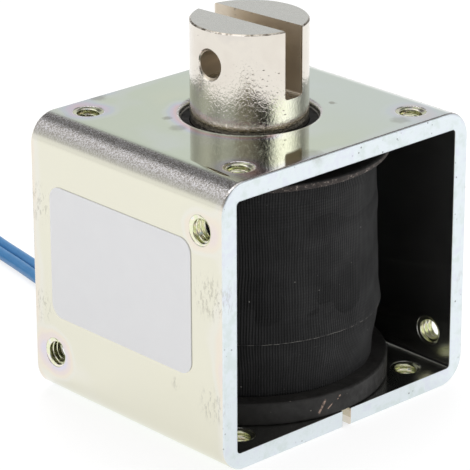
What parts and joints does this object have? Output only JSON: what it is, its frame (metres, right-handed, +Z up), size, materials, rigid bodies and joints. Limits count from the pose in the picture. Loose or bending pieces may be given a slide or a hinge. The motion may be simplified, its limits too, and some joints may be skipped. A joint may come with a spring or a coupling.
{
  "type": "push pull solenoid",
  "caption": "Open-frame solenoid: a bent steel frame round a taped coil, a clevis plunger that slides out of its top, and blue leads behind.",
  "frame": {"origin": "centre of the frame's bottom face, on the plunger's axis", "axes": "+Z up along the plunger, out of the top wall; -Y is the open front and -X the labelled wall"},
  "size_m": [0.0451, 0.1076, 0.0532],
  "materials": {
    "zinc_plate": "bright zinc plate with an iridescent clear passivation",
    "core_steel": "turned steel, zinc plated",
    "shim_brass": "plain brass",
    "bobbin_plastic": "black moulded nylon",
    "spring_steel": "plain spring steel",
    "copper_wire": "enamelled copper wire",
    "black_tape": "black woven cloth tape with fine upright ribs",
    "label_stock": "blank pale grey sticker",
    "nickel_plate": "warm nickel plate, finely pitted",
    "blue_insulation": "blue lead insulation",
    "tie_plastic": "natural nylon tie",
    "tinned_strands": "tinned copper strands"
  },
  "bodies": {
    "housing": {"frame": "zinc_plate", "fixed_core": "core_steel", "residual_shim": "shim_brass", "bobbin": "bobbin_plastic", "wave_washer": "spring_steel", "winding": "copper_wire", "tape_lower": "black_tape", "tape_upper": "black_tape", "label": "label_stock", "lead_a": "blue_insulation", "lead_b": "blue_insulation", "lead_coil_a": "blue_insulation", "lead_coil_b": "blue_insulation", "lead_tie": "tie_plastic", "lead_tip_a": "tinned_strands", "lead_tip_b": "tinned_strands"},
    "plunger": {"plunger": "nickel_plate"}
  },
  "joints": [
    {"name": "plunger_slide", "type": "slide", "parent": "housing", "child": "plunger", "axis": [0, 0, 1], "range_m": [0, 0.015]}
  ]
}
